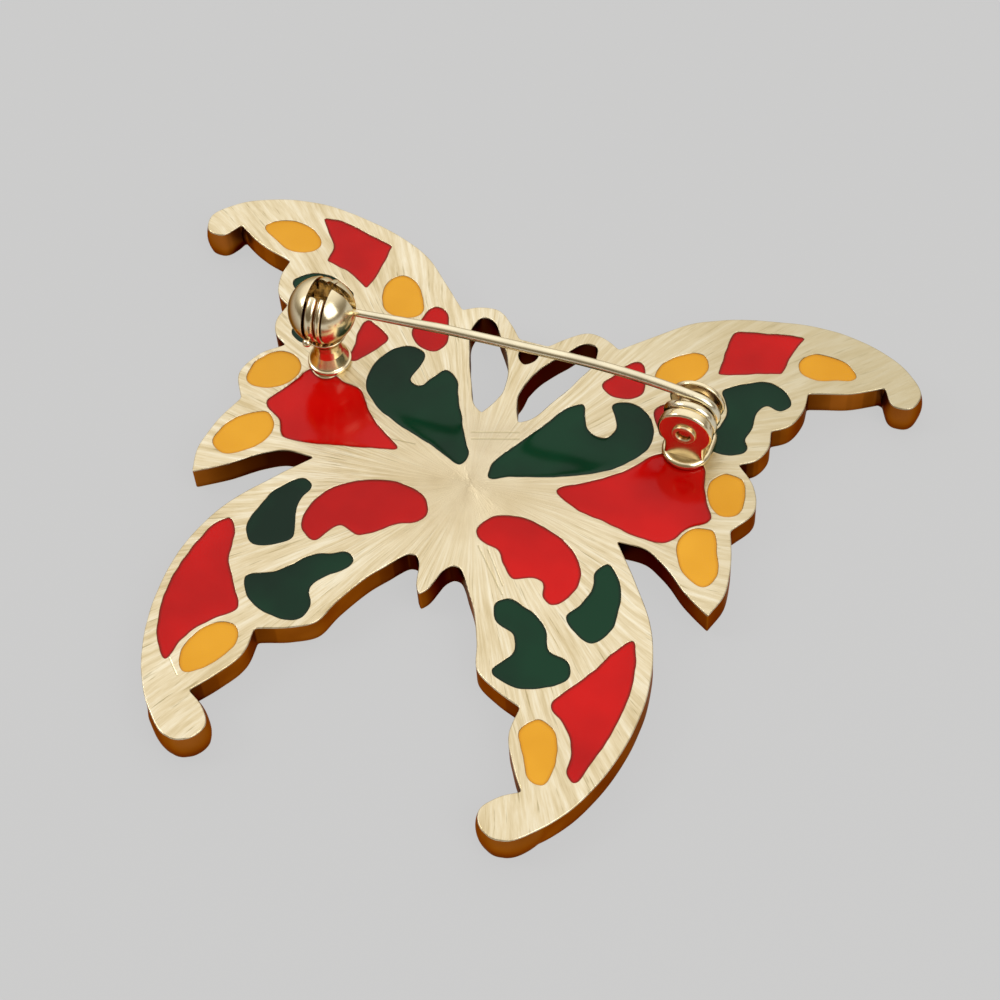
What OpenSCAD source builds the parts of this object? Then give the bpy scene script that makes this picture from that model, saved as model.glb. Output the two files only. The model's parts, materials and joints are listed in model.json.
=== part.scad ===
// Butterfly brooch, lying on its front with its back and its pin fittings up.
// X runs along the wings, Y towards the head and Z out of the back.
// The origin is at the centre of the footprint, where the front's highest domes rest.

/* [Wing plate] */
// Thickness of the cast plate
plate_t = 2.2; // [1.8:0.1:2.6]
// Height of the domes and the body above the front face
relief_h = 0.5; // [0.3:0.05:0.7]
// Depth of the enamel below the metal on each face
recess = 0.14; // [0.05:0.01:0.3]

/* [Pin] */
// Diameter of the pin's wire
wire_d = 0.76; // [0.7:0.02:0.8]
// Diameter of the pin where its point begins
point_d = 0.52; // [0.44:0.02:0.56]

/* [Hinge] */
// Radius of the hinge's round ears
ear_r = 2.1; // [1.9:0.05:2.2]
// Height of the rivet above the back of the plate
rivet_h = 3.3; // [3.2:0.05:3.4]
// Radius of the rivet where it passes through the ears
rivet_r = 0.6; // [0.45:0.05:0.7]
// Gap all round between the rivet's barrel and the wound wire
wire_gap = 0.06; // [0.03:0.01:0.1]

/* [Catch] */
// Radius of the ball-shaped housing
ball_r = 2.6; // [2.5:0.05:2.65]
// Height of the ball's centre above the back of the plate
ball_h = 6; // [5.95:0.05:6.05]
// Radius of the neck's waist
waist_r = 1.08; // [0.9:0.02:1.2]
// Running gap between the rotor and the housing
rotor_gap = 0.07; // [0.04:0.01:0.1]

/* [Hidden] */
$fn = 64;
// A small overlap that joins solids, and the reach of cuts past a face
joint = 0.05;
past = 1;
// The height of the plate's front and back faces above the resting plane
front_z = relief_h;
back_z = relief_h + plate_t;
// From the wing root to the centre of the footprint, along Y
centre_y = 7.29;
// The longest straight step in a smooth outline
curve_step = 0.55;

// Hinge, in X and Y from the wing root and in Z from the back of the plate
hinge_x = 14.45;
near_ear = [2, 2.82];
far_ear = [5.08, 5.45];
barrel_r = 1.3;
turn_r = barrel_r + wire_gap + wire_d / 2 + 0.02;
turn_y = [3.22, 4.2];
rivet_head_r = 0.9;
rivet_head_t = 0.2;
foot_w = 2.9;
foot_h = 0.8;
pad_t = 0.35;
hinge_pad_r = 2.1;
hinge_pad_y = [3.1, 4.1];

// Catch
catch_x = -14.5;
catch_y = 2.6;
catch_pad_r = 1.7;
catch_pad_y = [2.05, 3.15];
ring_x = [-0.55, 0.85];
bead_groove_x = [0.24, 0.36];
bead_depth = 0.35;
barrel_x = [-1.1, 1.4];
barrel_out_r = 1.5;
journal_gap = 0.05;
rotor_bore_r = 1.05;
rotor_slot_y = [-0.85, 1.08];
seat = [0.65, -0.2];
seat_r = 0.42;
lever_angle = 111;
lever_x = -0.25;
lever_root_r = 2.1;
lever_arm_r = 0.22;
lever_r = 2.75;
knob_r = 0.33;

// The pin is made of straight runs: the shaft, and the runs from its ends to the wound wire and
// to the point. Each run is a little thinner than the one it starts in.
TO_HINGE = [[4.5, 3.86, 6.32], [9.4, 4.03, 5.94], [14.4, 4.2, 5.05]];
TO_POINT = [[-4.5, 3.54, 6.32], [-14, 3.22, 5.76], [-14.9, 3.2, 5.72]];
run_step = 0.02;
point_tip_r = 0.05;
// The wound wire is flattened a little, which makes its turns this much thicker
turn_swell = 0.02;
// The wire that crosses from one turn to the next, hidden under the shaft
crossing_r = 0.3;
crossing_angle = 45;

// One half of the plate's edge, from the bridge between the antennae to the tail.
// A third value of 1 marks a sharp corner.
WING_EDGE = [[0, 9.2], [1.2, 9.2, 1], [2.3, 10.4], [3.8, 11.45], [5.2, 11.3], [6.5, 10.6, 1],
    [9, 13], [11, 14.8], [13, 15.85], [17, 17.05], [21, 17.6], [25, 17], [28.2, 15.4], [29.7, 13.4],
    [29.2, 12], [28, 11.85], [26.9, 13.35, 1], [25, 12.2], [21.55, 11.05, 1], [21.65, 9.4],
    [21, 7.5], [19.9, 6.75, 1], [20.15, 5], [19.6, 3.7], [18.5, 2.95, 1], [20.1, 1.4],
    [20.8, -0.8], [19.7, -3, 1], [20.6, -6], [20.85, -8.6], [20.3, -10.6, 1], [18, -9.1],
    [15.8, -7.3], [14.6, -6.6], [12.1, -6.5, 1], [14.3, -9.2], [16.9, -13], [18.2, -17.6],
    [18.15, -22], [16.7, -27.2], [14.6, -30.4], [12.5, -32], [10.8, -31.6], [10.2, -30.4],
    [11.1, -29], [12.5, -28.1, 1], [11.2, -26.3], [10.1, -24], [10.15, -21.9, 1], [8, -21.1],
    [6.2, -20], [5.45, -18], [4.1, -15.2], [3.15, -13.85], [2.5, -12.9], [1.95, -12.35],
    [1.45, -12.3], [1.1, -12.7], [0.7, -13.9], [0.4, -14.9], [0, -15.45]];

// The open loop beside each antenna, and the small opening between them
LOOP = [[0.65, 3.7, 1], [0.75, 5.1], [1.4, 7], [2.8, 9.1], [3.8, 10.3], [4.7, 10.4], [5.1, 9.2],
    [4.4, 6.6], [3.2, 3.9], [2.2, 2], [1.5, 1.5, 1], [0.95, 2.7]];
NOTCH = [[0, 6.9], [0.8, 8.1], [0, 8.5], [-0.8, 8.1]];

// The enamel panes: name, colour, and the outline on the right and on the left wing, where the
// left one is mirrored. The enamel was laid by hand, so that the two sides differ.
PANES = [
    ["yellow_wingtip", "orange",
        [[20.1, 13.6], [20.8, 14.8], [22.2, 15], [24.1, 14.35], [24.6, 13.6], [23.2, 12.9],
            [21.3, 12.5], [20.3, 12.95]],
        [[19.85, 13.3], [20.9, 14.65], [22.6, 15.1], [24.4, 14.6], [25, 14], [23.6, 12.8],
            [21.8, 12.1], [20.3, 12.5]]],
    ["red_upper_edge", "firebrick",
        [[14.4, 14.5], [14.6, 15.15], [15.3, 15.35], [17, 15.7], [18.6, 16.1], [19.8, 16.15, 1],
            [19.4, 14.8], [19.2, 13.4], [19.1, 12.2, 1], [17.25, 11.6], [15.6, 10.95],
            [14.5, 10.7, 1], [14.45, 11.9], [14.4, 13.35]],
        [[14.3, 15.05, 1], [15.95, 15.5], [17.95, 16.05], [19.35, 16.3], [20.7, 16.15, 1],
            [19.65, 14.7], [18.75, 13.5], [18.7, 12, 1], [16.45, 11.35], [14.6, 10.3, 1],
            [14.35, 11.45], [14.25, 13.05]]],
    ["yellow_upper_inner", "orange",
        [[10.1, 8.7], [10.2, 10.4], [11.3, 11.6], [12.9, 12.15], [13.45, 11.6], [13.4, 10],
            [12.3, 9], [11, 8.3]],
        [[9.5, 9], [10, 10.9], [11.1, 12.1], [12.3, 12.45], [13.2, 11.4], [12.9, 9.5],
            [12.2, 8.6], [10.6, 8.4]]],
    ["red_head_side", "firebrick",
        [[6.4, 6.8], [7.1, 8.3], [7.9, 9.7], [8.6, 9.95], [9.2, 8.9], [9.55, 7], [9, 6.35],
            [7.4, 6.15]],
        [[6.5, 6.9], [6.9, 8.6], [7.9, 10.15], [8.7, 10.2], [9.2, 8.8], [9.45, 7.2], [8.8, 6.35],
            [7, 5.95]]],
    ["green_hook", "darkslategray",
        [[15.3, 9.1], [16.5, 10.25], [18.4, 11.1], [19.9, 10.55], [20.6, 9.4], [20, 8.7],
            [18.9, 8.9], [18.35, 7.9], [18.5, 6.6], [18.3, 5.2], [18.7, 4.6], [17.7, 3.55],
            [16.2, 3.7], [16.1, 5.6], [16.25, 7.4], [15.6, 8.6]],
        [[15.2, 9.1], [16.4, 10.1], [18.2, 10.6], [19.8, 10.1], [20.5, 9.2], [20, 8.45],
            [18.9, 8.8], [18.3, 7.9], [18.4, 6.6], [18.2, 5.2], [18.6, 4.6], [17.6, 3.6],
            [16.2, 3.8], [16.1, 5.6], [16.2, 7.4], [15.6, 8.6]]],
    ["red_fitting_side", "firebrick",
        [[11, 6], [12.3, 7], [13.4, 7.3], [13.5, 6], [13.1, 4.3], [12.7, 3, 1], [11.9, 4]],
        [[11, 6.05], [12.2, 6.9], [13.3, 7.3], [13.5, 6], [13.1, 4.3], [12.7, 3, 1], [11.8, 4.3]]],
    ["green_forewing", "darkslategray",
        [[0.95, -3], [2, -0.7], [3.6, 2.1], [4.8, 4.15], [5.6, 4.7], [6.2, 3.5], [7, 2.3],
            [8.2, 2.15], [8.75, 3], [8.2, 4.5], [7.75, 5.2], [8.8, 5.9], [10.2, 5.6], [11.4, 4.2],
            [11.6, 2.2], [10.4, 0.3], [8, -1.5], [5, -2.75], [2.4, -3.6], [1.2, -4.15]],
        [[1, -3], [2, -0.9], [3.6, 2.1], [4.7, 4.15], [5.6, 4.55], [6.2, 3.6], [7.1, 2.4],
            [7.85, 2.7], [7.65, 4.1], [7.7, 5.5], [8.8, 5.9], [10.2, 5.2], [11.05, 3.4],
            [10.9, 1.2], [9.4, -0.4], [7, -1.6], [4, -2.6], [2.2, -3.4], [1.3, -3.7]]],
    ["red_forewing", "firebrick",
        [[6.35, -3.6], [8, -2.3], [9.6, -1.15], [11.2, 0.4], [12.2, 1.8], [13, 2.3], [16, 2.3],
            [16.6, 0.4], [17.3, -1.2], [18, -2.4], [16.6, -3.8], [15.5, -5.5], [14, -5.7],
            [11, -5.2], [8, -4.6]],
        [[6.3, -3.8], [8.3, -2.3], [9.8, -1], [11.2, 0.7], [12.9, 1], [14, 1.5], [15.8, 1.5],
            [16.2, 0.2], [17.1, -1.5], [17.6, -2.7], [15.9, -4.1], [15.1, -5.4], [13.5, -5.4],
            [10.5, -4.8], [7.6, -4.15]]],
    ["yellow_outer", "orange",
        [[17, 0.8], [17.9, 1.85], [19.2, 1.6], [19.8, 0], [19.7, -1.5], [18.6, -1.95],
            [17.5, -1.1]],
        [[16.3, 0.8], [17.4, 2.25], [19, 2], [20.1, 0.3], [19.8, -1.4], [18.2, -1.5],
            [16.7, -0.4]]],
    ["yellow_waist", "orange",
        [[16.3, -5], [17.1, -3.65], [18.4, -3.4], [19.2, -5], [19.85, -7.4], [19.3, -8.3],
            [17.9, -7.9], [16.6, -6.2]],
        [[16.1, -4.8], [17, -3.65], [18.6, -4.3], [19.8, -5.8], [19.9, -7.7], [18.8, -8.3],
            [17.2, -7.4], [16.2, -6]]],
    ["red_bean", "firebrick",
        [[2, -8.8], [2.6, -7.4], [4.6, -6.75], [7.2, -7.2], [9.4, -8.4], [10.6, -10.3],
            [10.4, -12.1], [9.3, -13.25], [8.6, -12.8], [8.1, -11.5], [7.2, -11.5], [6, -12],
            [5, -11.1], [4.1, -10], [2.6, -9.6]],
        [[2, -8.8], [2.7, -7.35], [4.6, -6.65], [7.2, -7.1], [9.4, -8.4], [10.6, -10.6],
            [10.3, -12.8], [9, -13.5], [8.4, -12.4], [7.7, -11.6], [6.2, -12], [4.9, -11.2],
            [3.9, -10.2], [2.4, -9.5]]],
    ["green_leaf", "darkslategray",
        [[12, -8.6], [11.5, -9.5], [11.75, -11.1], [11.2, -12.9], [10.75, -13.7], [12.1, -15.1],
            [13.1, -15.4], [14.1, -14.1], [14.1, -12], [13.4, -9.8]],
        [[11.9, -8.5], [11.2, -8.9], [11.5, -10.6], [11.1, -12.3], [10.7, -13.7], [12.1, -14.95],
            [13.3, -15.2], [14.2, -14.2], [14.15, -11.8], [13.1, -9.4]]],
    ["green_bone", "darkslategray",
        [[5.6, -14.2], [6.3, -13.65], [7.5, -14], [8.8, -14.5], [9.7, -15.3], [10.5, -16.9],
            [12.2, -17.45], [12.6, -18.4], [11.2, -19.9], [9, -20.5], [7.2, -19.6], [7.6, -18.9],
            [8.2, -17.9], [7.6, -16.4], [6.2, -15.9]],
        [[5.6, -14.2], [6.2, -13.7], [7.5, -14.2], [8.8, -14.75], [9.7, -15.9], [11, -17.1],
            [12.6, -17.9], [11.7, -19.6], [9.8, -20.45], [7.3, -20], [7.1, -18.9], [7.75, -17.4],
            [7.1, -16.2], [6, -15.2]]],
    ["red_hindwing", "firebrick",
        [[15.9, -14.2], [15.1, -15.2], [14.2, -17.2], [12.8, -19.6], [12.1, -21], [13.6, -22.3],
            [14.7, -24], [15, -25.8], [15.6, -26.4], [16.3, -24.5], [16.9, -21.5], [16.9, -17],
            [16.4, -15.2]],
        [[15.8, -13.6], [15.1, -14.4], [14.4, -17], [13, -19.1], [12.05, -20.7], [13.4, -22.2],
            [14.7, -24.2], [15.2, -26.4], [16.4, -25], [17.4, -22.3], [17.65, -19.4],
            [17.2, -16.2], [16.5, -14.2]]],
    ["yellow_hindwing", "orange",
        [[10.8, -23.6], [11.7, -22.4], [12.9, -22.8], [13.8, -24.5], [14, -26], [13.7, -27.2],
            [12.8, -27.1], [11.7, -25.5]],
        [[10.9, -23.4], [11.6, -22.1], [12.9, -22.3], [14.1, -23.8], [14.35, -25.6],
            [13.5, -26.85], [12.5, -26.3], [11.4, -24.8]]]
];
SIDES = ["right", "left"];

// The round knobs at the ends of the wings, on the right wing: centre and radius
KNOBS = [[28.4, 13, 1.45], [12, -30.6, 2]];
// How much lower than a sphere's top each dome of the body is worn
dome_wear = 0.03;
// The body on the front, as a row of round segments along the middle: Y and radius
BODY = [[4.6, 1.5], [2.4, 1.75], [-0.2, 1.95], [-2.9, 1.9], [-5.3, 1.7], [-7.4, 1.5],
    [-9.3, 1.3], [-11, 1.1], [-12.4, 0.9], [-13.6, 0.75]];

function pane_node(pane, side) = str("enamel_", pane[0], "_", side);

// Smooth outlines: a curve through the points, broken at each sharp corner.
function flat(p) = [p.x, p.y];
function sharp(p) = len(p) > 2;
function gap(p, q) = norm(flat(q) - flat(p));
function slope(a, b, c) = let (u = gap(a, b), v = gap(b, c))
    ((flat(b) - flat(a)) * v / u + (flat(c) - flat(b)) * u / v) / (u + v);
function leg(a, b, c, d) = let (
        reach = gap(b, c),
        straight = (flat(c) - flat(b)) / reach,
        m = sharp(b) || gap(a, b) == 0 ? straight : slope(a, b, c),
        n = sharp(c) || gap(c, d) == 0 ? straight : slope(b, c, d),
        steps = max(1, ceil(reach / curve_step))
    )
    [for (i = [0:steps - 1]) let (s = i / steps)
        flat(b) * (1 + 2 * s) * pow(1 - s, 2) + m * reach * s * pow(1 - s, 2)
        + flat(c) * (3 - 2 * s) * pow(s, 2) + n * reach * (s - 1) * pow(s, 2)];
function closed_curve(pts) = let (n = len(pts))
    [for (i = [0:n - 1])
        each leg(pts[(i + n - 1) % n], pts[i], pts[(i + 1) % n], pts[(i + 2) % n])];
function open_curve(pts) = let (n = len(pts))
    [for (i = [0:n - 2]) each leg(pts[max(0, i - 1)], pts[i], pts[i + 1], pts[min(n - 1, i + 2)])];
function mirrored(pts) = [for (i = [len(pts) - 1:-1:1]) [-pts[i].x, pts[i].y]];

// Places a piece drawn from the wing root, and one drawn from the back of the plate
module from_root() {
    translate([0, centre_y, 0]) children();
}

module on_back(x, y, z) {
    translate([x, y + centre_y, z + back_z]) children();
}

// Draws its children on the right wing and mirrored on the left
module both_wings() {
    children();
    mirror([1, 0, 0]) children();
}

// A round-ended patch of radius r from y[0] to y[1]
module patch(r, y) {
    translate([0, y[0]]) circle(r);
    translate([0, y[1]]) circle(r);
    translate([-r, y[0]]) square([2 * r, y[1] - y[0]]);
}

// The plain metal that is left under the hinge and the catch
module solder_lands() {
    translate([hinge_x, 0]) patch(hinge_pad_r, hinge_pad_y);
    translate([catch_x, 0]) patch(catch_pad_r, catch_pad_y);
}

module pane_shape(pane, side) {
    difference() {
        if (side == "right")
            polygon(closed_curve(pane[2]));
        else
            mirror([1, 0]) polygon(closed_curve(pane[3]));
        solder_lands();
    }
}

module plate_shape() {
    half = open_curve(WING_EDGE);
    difference() {
        polygon(concat(half, [flat(WING_EDGE[len(WING_EDGE) - 1])], mirrored(half)));
        both_wings() polygon(closed_curve(LOOP));
        polygon(closed_curve(NOTCH));
        for (pane = PANES)
            for (side = SIDES)
                pane_shape(pane, side);
    }
}

// A knob as deep as the plate and its relief together, and widest half-way
module knob(x, y, r) {
    translate([x, y, 0]) intersection() {
        translate([0, 0, back_z / 2]) sphere(r);
        translate([-r, -r, 0]) cube([2 * r, 2 * r, back_z]);
    }
}

// A dome that stands relief_h proud of the front face at [x, y], with a small flat worn on its
// top, and that ends just inside the plate, above the enamel
module front_dome(x, y, r) {
    translate([x, y, 0]) intersection() {
        translate([0, 0, r - dome_wear]) sphere(r);
        translate([-r, -r, 0]) cube([2 * r, 2 * r, relief_h + joint]);
    }
}

module wing_plate() {
    color("wheat") from_root() {
        translate([0, 0, front_z]) linear_extrude(plate_t) plate_shape();
        both_wings()
            for (k = KNOBS)
                knob(k[0], k[1], k[2]);
        for (b = BODY)
            front_dome(0, b[0], b[1]);
    }
}

module enamel(pane, side) {
    color(pane[1]) from_root() translate([0, 0, front_z + recess])
        linear_extrude(plate_t - 2 * recess) pane_shape(pane, side);
}

// A cylinder along Y from y[0] to y[1]
module along_y(r, y) {
    translate([0, y[0], 0]) rotate([-90, 0, 0]) cylinder(r = r, h = y[1] - y[0]);
}

// A cylinder along X from x[0] to x[1]
module along_x(r, x) {
    translate([x[0], 0, 0]) rotate([0, 90, 0]) cylinder(r = r, h = x[1] - x[0]);
}

module hinge_bracket() {
    color("gold") on_back(hinge_x, 0, 0) difference() {
        union() {
            linear_extrude(pad_t) patch(hinge_pad_r, hinge_pad_y);
            translate([-foot_w / 2, near_ear[0], pad_t - joint])
                cube([foot_w, far_ear[1] - near_ear[0], foot_h - pad_t + joint]);
            for (ear = [near_ear, far_ear]) {
                translate([0, 0, rivet_h]) along_y(ear_r, ear);
                translate([-foot_w / 2, ear[0], pad_t])
                    cube([foot_w, ear[1] - ear[0], rivet_h - pad_t]);
            }
        }
        translate([0, 0, rivet_h]) along_y(rivet_r, [near_ear[0] - past, far_ear[1] + past]);
    }
}

module hinge_rivet() {
    ends = [near_ear[0] - rivet_head_t, far_ear[1] + rivet_head_t];
    color("goldenrod") on_back(hinge_x, 0, rivet_h) difference() {
        union() {
            along_y(rivet_r, ends);
            along_y(rivet_head_r, [ends[0], near_ear[0]]);
            along_y(rivet_head_r, [far_ear[1], ends[1]]);
            along_y(barrel_r, [near_ear[1], far_ear[0]]);
        }
        along_y(rivet_r * 0.85, [ends[0] - past, ends[0] + 2 * rivet_head_t]);
    }
}

// A straight run of wire from just before a to b, with radius r at a and s at b
module run(a, b, r, s) {
    d = b - a;
    translate(a) rotate([0, acos(d.z / norm(d)), atan2(d.y, d.x)])
        translate([0, 0, -joint]) cylinder(h = norm(d) + joint, r1 = r, r2 = s);
}

module pin_stem() {
    wire_r = wire_d / 2;
    point_r = point_d / 2;
    color("khaki") {
        on_back(0, 0, 0) {
            run(TO_POINT[0], TO_HINGE[0], wire_r, wire_r);
            run(TO_HINGE[0], TO_HINGE[1], wire_r - run_step, wire_r - run_step);
            run(TO_HINGE[1], TO_HINGE[2], wire_r - 2 * run_step, wire_r - 2 * run_step);
            run(TO_POINT[0], TO_POINT[1], wire_r - run_step, point_r);
            run(TO_POINT[1], TO_POINT[2], point_r - run_step, point_tip_r);
        }
        on_back(hinge_x, 0, rivet_h) {
            for (y = turn_y)
                translate([0, y, 0]) rotate([90, 0, 0]) rotate_extrude() translate([turn_r, 0])
                    circle(wire_r + turn_swell);
            rotate([0, crossing_angle, 0]) translate([turn_r, 0, 0]) along_y(crossing_r, turn_y);
        }
    }
}

// The waisted neck: a round post with a hollow flank, from the pad up into the ball
module neck() {
    flank_r = 1.62;
    top = ball_h - 2;
    difference() {
        cylinder(r = 1.66, h = top);
        rotate_extrude() translate([waist_r + flank_r, pad_t + flank_r]) circle(flank_r);
    }
}

module ball() {
    rotate([0, 90, 0]) sphere(ball_r);
}

module catch_housing() {
    color("gold") on_back(catch_x, catch_y, 0) difference() {
        union() {
            translate([0, -catch_y, 0]) linear_extrude(pad_t) patch(catch_pad_r, catch_pad_y);
            neck();
            translate([0, 0, ball_h]) ball();
        }
        translate([0, 0, ball_h]) {
            // Room for the ring, and for the barrel on each side of it
            along_x(ball_r, [ring_x[0] - rotor_gap, ring_x[1] + rotor_gap]);
            along_x(barrel_out_r + journal_gap, [barrel_x[0] - rotor_gap, barrel_x[1] + rotor_gap]);
            // Where the pin comes in, lies and lifts out
            translate([0, seat[0], seat[1]]) {
                along_x(seat_r, [0, ball_r + past]);
                translate([0, -seat_r, 0]) cube([ball_r + past, 2 * seat_r, ball_r + past]);
            }
        }
    }
}

// The rotor's section on one side of its axis: a barrel, and the ring that two beads make
module rotor_section() {
    difference() {
        union() {
            translate([rotor_bore_r, barrel_x[0]])
                square([barrel_out_r - rotor_bore_r, barrel_x[1] - barrel_x[0]]);
            intersection() {
                circle(ball_r - rotor_gap);
                translate([rotor_bore_r, ring_x[0]]) square([ball_r, ring_x[1] - ring_x[0]]);
            }
        }
        translate([ball_r - bead_depth, bead_groove_x[0]])
            square([ball_r, bead_groove_x[1] - bead_groove_x[0]]);
    }
}

module catch_rotor() {
    color("darkgoldenrod") on_back(catch_x, catch_y, ball_h) {
        difference() {
            rotate([0, 90, 0]) rotate_extrude() rotor_section();
            translate([barrel_x[0] - past, rotor_slot_y[0], 0])
                cube([2 * ball_r, rotor_slot_y[1] - rotor_slot_y[0], ball_r + past]);
        }
        rotate([lever_angle, 0, 0]) translate([lever_x, 0, 0]) {
            translate([0, 0, lever_root_r]) cylinder(r = lever_arm_r, h = lever_r - lever_root_r);
            translate([0, 0, lever_r]) sphere(knob_r);
        }
    }
}

wing_plate();
for (pane = PANES)
    for (side = SIDES)
        enamel(pane, side);
hinge_bracket();
hinge_rivet();
pin_stem();
catch_housing();
catch_rotor();
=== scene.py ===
"""Butterfly brooch, lying on its front with its back and its pin fittings up.

Lengths are in millimetres and become metres where a mesh is made. X runs along the wings,
Y towards the head and Z out of the back.
"""

import json
import math

import bpy
import numpy as np
from mathutils import Matrix, Vector, kdtree, noise
from mathutils.geometry import delaunay_2d_cdt


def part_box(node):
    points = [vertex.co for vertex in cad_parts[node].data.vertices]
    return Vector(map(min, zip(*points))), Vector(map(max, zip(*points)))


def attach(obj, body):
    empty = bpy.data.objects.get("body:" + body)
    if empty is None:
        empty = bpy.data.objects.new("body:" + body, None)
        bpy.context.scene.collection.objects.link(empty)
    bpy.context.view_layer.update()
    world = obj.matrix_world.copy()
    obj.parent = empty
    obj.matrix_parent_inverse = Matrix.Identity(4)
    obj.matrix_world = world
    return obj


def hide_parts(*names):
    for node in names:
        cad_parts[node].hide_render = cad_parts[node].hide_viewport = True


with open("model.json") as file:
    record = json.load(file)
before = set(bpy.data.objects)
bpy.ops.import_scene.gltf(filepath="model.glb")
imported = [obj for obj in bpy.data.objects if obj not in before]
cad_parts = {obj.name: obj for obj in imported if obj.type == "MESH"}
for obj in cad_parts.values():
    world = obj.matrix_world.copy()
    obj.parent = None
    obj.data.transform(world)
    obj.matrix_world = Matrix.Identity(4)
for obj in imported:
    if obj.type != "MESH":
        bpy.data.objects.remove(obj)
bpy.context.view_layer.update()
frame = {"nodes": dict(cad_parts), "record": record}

MM = 0.001


def node_box(node):
    """The lowest and highest corner of a CAD node, in mm."""
    low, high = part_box(node)
    return np.array(low) / MM, np.array(high) / MM


# Heights of the plate, and where the hinge and the catch stand
BACK_Z = node_box("wing_plate")[1][2]
PANE_LOW, PANE_HIGH = node_box("enamel_red_bean_right")
RECESS = BACK_Z - PANE_HIGH[2]
FRONT_Z = PANE_LOW[2] - RECESS
JOINTS = {j["name"]: np.array(j["pos_m"]) / MM for j in frame["record"]["behaviour"]["joints"]}
HINGE, CATCH = JOINTS["pin_swing"], JOINTS["catch_turn"]
# The wing root, from which places along Y are given
ROOT = np.array([0.0, 7.29])

# The step along an outline, and the rounding of the plate's edges round its rims and its cells
OUTLINE_STEP = 0.12
RIM_R = 0.11
CELL_R = 0.06
# How far in from an edge the rows of points follow it, and the step of the points inside them
ROWS = (0.02, 0.05, 0.1, 0.18)
GRID = 0.34
FINE_GRID = 0.16


# ---------------------------------------------------------------- outlines and flat regions


def face_outlines(node, height):
    """The closed outlines of a node's flat face at this height, each with the solid on its left."""
    mesh = frame["nodes"][node].data
    at = [tuple(round(c / MM, 3) for c in v.co) for v in mesh.vertices]
    sides = set()
    for face in mesh.polygons:
        corners = [at[i] for i in face.vertices]
        if all(abs(c[2] - height) < 0.002 for c in corners):
            flat = [c[:2] for c in corners]
            sides.update((a, b) for a, b in zip(flat, flat[1:] + flat[:1]) if a != b)
    following = {a: b for a, b in sides if (b, a) not in sides}
    loops = []
    while following:
        loop = [next(iter(sorted(following)))]
        while loop[-1] in following:
            loop.append(following.pop(loop[-1]))
        loops.append(np.array(loop[:-1]))
    return loops


def area(loop):
    """The area that an outline encloses, negative if it runs clockwise."""
    x, y = loop.T
    return 0.5 * float(np.sum(x * np.roll(y, -1) - np.roll(x, -1) * y))


def smooth_outline(loop, corner=48, passes=3):
    """A finely stepped curve through an outline's points. Turns of more than corner degrees stay
    corners, and are softened a little by a few averaging passes."""
    ahead, behind = np.roll(loop, -1, 0) - loop, loop - np.roll(loop, 1, 0)
    reach, last = np.linalg.norm(ahead, axis=1), np.linalg.norm(behind, axis=1)
    turn = np.arctan2(behind[:, 0] * ahead[:, 1] - behind[:, 1] * ahead[:, 0], np.sum(ahead * behind, 1))
    sharp = np.abs(np.degrees(turn)) > corner
    slope = (behind * (reach / last)[:, None] + ahead * (last / reach)[:, None]) / (reach + last)[:, None]
    points = []
    for i in range(len(loop)):
        j = (i + 1) % len(loop)
        straight = ahead[i] / reach[i]
        m = straight if sharp[i] else slope[i]
        n = straight if sharp[j] else slope[j]
        steps = max(1, math.ceil(reach[i] / OUTLINE_STEP))
        for s in np.arange(steps) / steps:
            points.append(loop[i] * (1 + 2 * s) * (1 - s) ** 2 + m * reach[i] * s * (1 - s) ** 2
                          + loop[j] * (3 - 2 * s) * s ** 2 + n * reach[i] * (s - 1) * s ** 2)
    points = np.array(points)
    for _ in range(passes):
        points = (np.roll(points, 1, 0) + 2 * points + np.roll(points, -1, 0)) / 4
    return points


def left_normals(loop):
    """The direction to the left of an outline at each of its points."""
    along = np.roll(loop, -1, 0) - np.roll(loop, 1, 0)
    along /= np.linalg.norm(along, axis=1)[:, None] + 1e-12
    return np.stack([-along[:, 1], along[:, 0]], 1)


def wobble(loop, size, wave, seed):
    """Moves an outline in and out by up to size, in waves about as long as wave."""
    shift = [noise.noise(Vector((p[0] / wave, p[1] / wave, seed))) for p in loop]
    return loop + left_normals(loop) * (np.array(shift) * size)[:, None]


class Edges:
    """Distances from points to a set of closed outlines."""

    def __init__(self, loops):
        self.points = np.concatenate(loops)
        self.ahead = np.concatenate([np.roll(p, -1, 0) for p in loops])
        self.behind = np.concatenate([np.roll(p, 1, 0) for p in loops])
        self.tree = kdtree.KDTree(len(self.points))
        for i, p in enumerate(self.points):
            self.tree.insert((p[0], p[1], 0), i)
        self.tree.balance()

    def distance(self, where):
        """How far each point is from the nearest outline."""
        near = np.array([self.tree.find((p[0], p[1], 0))[1] for p in where])
        best = np.full(len(where), 1e9)
        for a, b in ((self.points, self.ahead), (self.behind, self.points)):
            start, run = a[near], b[near] - a[near]
            share = np.sum((where - start) * run, 1) / (np.sum(run * run, 1) + 1e-12)
            foot = start + run * np.clip(share, 0, 1)[:, None]
            best = np.minimum(best, np.linalg.norm(where - foot, axis=1))
        return best


def hex_grid(low, high, step):
    """Points over a box, in rows that are half a step out from each other."""
    rows = np.arange(low[1], high[1], step * 0.866)
    columns = np.arange(low[0], high[0], step)
    return np.array([(x + (k % 2) * step / 2, y) for k, y in enumerate(rows) for x in columns])


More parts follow.
